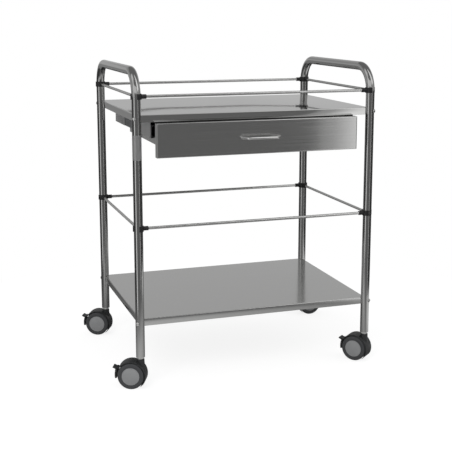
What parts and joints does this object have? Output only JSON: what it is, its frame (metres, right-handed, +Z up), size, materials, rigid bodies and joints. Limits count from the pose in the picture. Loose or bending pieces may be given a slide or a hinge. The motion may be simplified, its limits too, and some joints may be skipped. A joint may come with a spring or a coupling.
{
  "type": "medical trolley",
  "caption": "Two-shelf stainless steel trolley with bent tube ends, guard rails on snap clips, a drawer on telescopic runners and braked twin-wheel casters",
  "frame": {"origin": "On the floor, below the middle of the four posts", "axes": "+X is the trolley's right, -Y is its front, where the drawer opens, and +Z is up"},
  "size_m": [0.8451, 0.5916, 0.8945],
  "materials": {
    "brushed_steel_tube": "satin polished stainless tube",
    "steel_sheet": "smooth stainless sheet with a soft reflection",
    "steel_rod": "bright drawn stainless rod",
    "fastener_steel": "polished stainless fastener",
    "runner_steel": "plain zinc plated strip",
    "hanger_steel": "plain stainless plate",
    "clip_plastic": "black moulded plastic",
    "caster_plastic": "black moulded nylon",
    "plug_plastic": "undyed moulded polyethylene",
    "wheel_plastic": "grey moulded plastic",
    "tyre": "dark grey soft tread",
    "pin_steel": "bright plated pin"
  },
  "bodies": {
    "frame": {"end_frame_left": "brushed_steel_tube", "end_frame_right": "brushed_steel_tube", "upper_shelf": "steel_sheet", "lower_shelf": "steel_sheet", "shelf_screws": "fastener_steel", "shelf_nuts": "fastener_steel", "upper_rail_front": "steel_rod", "upper_rail_back": "steel_rod", "upper_rail_left": "steel_rod", "upper_rail_right": "steel_rod", "upper_rail_clips": "clip_plastic", "lower_rail_front": "steel_rod", "lower_rail_back": "steel_rod", "lower_rail_left": "steel_rod", "lower_rail_right": "steel_rod", "lower_rail_clips": "clip_plastic", "drawer_hanger_left": "hanger_steel", "runner_fixed_left": "runner_steel", "drawer_hanger_right": "hanger_steel", "runner_fixed_right": "runner_steel", "post_plugs": "plug_plastic", "caster_stems": "pin_steel"},
    "drawer": {"drawer_front": "steel_sheet", "drawer_box": "steel_sheet", "drawer_pull": "steel_rod", "drawer_pull_screws": "fastener_steel", "runner_drawer_left": "runner_steel", "runner_drawer_right": "runner_steel"},
    "middle_left": {"runner_middle_left": "runner_steel"},
    "middle_right": {"runner_middle_right": "runner_steel"},
    "caster_front_left": {"caster_housing_front_left": "caster_plastic", "caster_pins_front_left": "pin_steel"},
    "wheel_front_left_left": {"caster_wheel_front_left_left": "wheel_plastic", "caster_tyre_front_left_left": "tyre"},
    "wheel_front_left_right": {"caster_wheel_front_left_right": "wheel_plastic", "caster_tyre_front_left_right": "tyre"},
    "brake_front_left": {"caster_brake_front_left": "caster_plastic"},
    "caster_front_right": {"caster_housing_front_right": "caster_plastic", "caster_pins_front_right": "pin_steel"},
    "wheel_front_right_left": {"caster_wheel_front_right_left": "wheel_plastic", "caster_tyre_front_right_left": "tyre"},
    "wheel_front_right_right": {"caster_wheel_front_right_right": "wheel_plastic", "caster_tyre_front_right_right": "tyre"},
    "brake_front_right": {"caster_brake_front_right": "caster_plastic"},
    "caster_back_left": {"caster_housing_back_left": "caster_plastic", "caster_pins_back_left": "pin_steel"},
    "wheel_back_left_left": {"caster_wheel_back_left_left": "wheel_plastic", "caster_tyre_back_left_left": "tyre"},
    "wheel_back_left_right": {"caster_wheel_back_left_right": "wheel_plastic", "caster_tyre_back_left_right": "tyre"},
    "brake_back_left": {"caster_brake_back_left": "caster_plastic"},
    "caster_back_right": {"caster_housing_back_right": "caster_plastic", "caster_pins_back_right": "pin_steel"},
    "wheel_back_right_left": {"caster_wheel_back_right_left": "wheel_plastic", "caster_tyre_back_right_left": "tyre"},
    "wheel_back_right_right": {"caster_wheel_back_right_right": "wheel_plastic", "caster_tyre_back_right_right": "tyre"},
    "brake_back_right": {"caster_brake_back_right": "caster_plastic"}
  },
  "joints": [
    {"name": "drawer_slide", "type": "slide", "parent": "frame", "child": "drawer", "axis": [0, -1, 0], "range_m": [0, 0.28]},
    {"name": "middle_left_slide", "type": "slide", "parent": "frame", "child": "middle_left", "axis": [0, -1, 0], "range_m": [0, 0.14]},
    {"name": "middle_right_slide", "type": "slide", "parent": "frame", "child": "middle_right", "axis": [0, -1, 0], "range_m": [0, 0.14]},
    {"name": "swivel_front_left", "type": "hinge", "parent": "frame", "child": "caster_front_left", "pos_m": [-0.345, -0.245, 0.085], "axis": [0, 0, 1], "continuous": true},
    {"name": "wheel_front_left_left_spin", "type": "hinge", "parent": "caster_front_left", "child": "wheel_front_left_left", "pos_m": [-0.3683, -0.23463, 0.0375], "axis": [0.4067, 0.9135, 0], "continuous": true},
    {"name": "wheel_front_left_right_spin", "type": "hinge", "parent": "caster_front_left", "child": "wheel_front_left_right", "pos_m": [-0.3683, -0.23463, 0.0375], "axis": [0.4067, 0.9135, 0], "continuous": true},
    {"name": "brake_front_left", "type": "hinge", "parent": "caster_front_left", "child": "brake_front_left", "pos_m": [-0.40756, -0.21715, 0.04902], "axis": [-0.4067, -0.9135, 0], "range_deg": [0, 11]},
    {"name": "swivel_front_right", "type": "hinge", "parent": "frame", "child": "caster_front_right", "pos_m": [0.345, -0.245, 0.085], "axis": [0, 0, 1], "continuous": true},
    {"name": "wheel_front_right_left_spin", "type": "hinge", "parent": "caster_front_right", "child": "wheel_front_right_left", "pos_m": [0.32827, -0.22575, 0.0375], "axis": [0.7547, 0.6561, 0], "continuous": true},
    {"name": "wheel_front_right_right_spin", "type": "hinge", "parent": "caster_front_right", "child": "wheel_front_right_right", "pos_m": [0.32827, -0.22575, 0.0375], "axis": [0.7547, 0.6561, 0], "continuous": true},
    {"name": "brake_front_right", "type": "hinge", "parent": "caster_front_right", "child": "brake_front_right", "pos_m": [0.30007, -0.19331, 0.04902], "axis": [-0.7547, -0.6561, 0], "range_deg": [0, 11]},
    {"name": "swivel_back_left", "type": "hinge", "parent": "frame", "child": "caster_back_left", "pos_m": [-0.345, 0.245, 0.085], "axis": [0, 0, 1], "continuous": true},
    {"name": "wheel_back_left_left_spin", "type": "hinge", "parent": "caster_back_left", "child": "wheel_back_left_left", "pos_m": [-0.36772, 0.25658, 0.0375], "axis": [0.454, 0.891, 0], "continuous": true},
    {"name": "wheel_back_left_right_spin", "type": "hinge", "parent": "caster_back_left", "child": "wheel_back_left_right", "pos_m": [-0.36772, 0.25658, 0.0375], "axis": [0.454, 0.891, 0], "continuous": true},
    {"name": "brake_back_left", "type": "hinge", "parent": "caster_back_left", "child": "brake_back_left", "pos_m": [-0.40602, 0.27609, 0.04902], "axis": [-0.454, -0.891, 0], "range_deg": [0, 11]},
    {"name": "swivel_back_right", "type": "hinge", "parent": "frame", "child": "caster_back_right", "pos_m": [0.345, 0.245, 0.085], "axis": [0, 0, 1], "continuous": true},
    {"name": "wheel_back_right_left_spin", "type": "hinge", "parent": "caster_back_right", "child": "wheel_back_right_left", "pos_m": [0.3705, 0.245, 0.0375], "axis": [0, -1, 0], "continuous": true},
    {"name": "wheel_back_right_right_spin", "type": "hinge", "parent": "caster_back_right", "child": "wheel_back_right_right", "pos_m": [0.3705, 0.245, 0.0375], "axis": [0, -1, 0], "continuous": true},
    {"name": "brake_back_right", "type": "hinge", "parent": "caster_back_right", "child": "brake_back_right", "pos_m": [0.41348, 0.245, 0.04902], "axis": [0, 1, 0], "range_deg": [0, 11]}
  ],
  "couplings": [
    {"joint": "middle_left_slide", "follows": "drawer_slide", "ratio": 0.5},
    {"joint": "middle_right_slide", "follows": "drawer_slide", "ratio": 0.5}
  ]
}
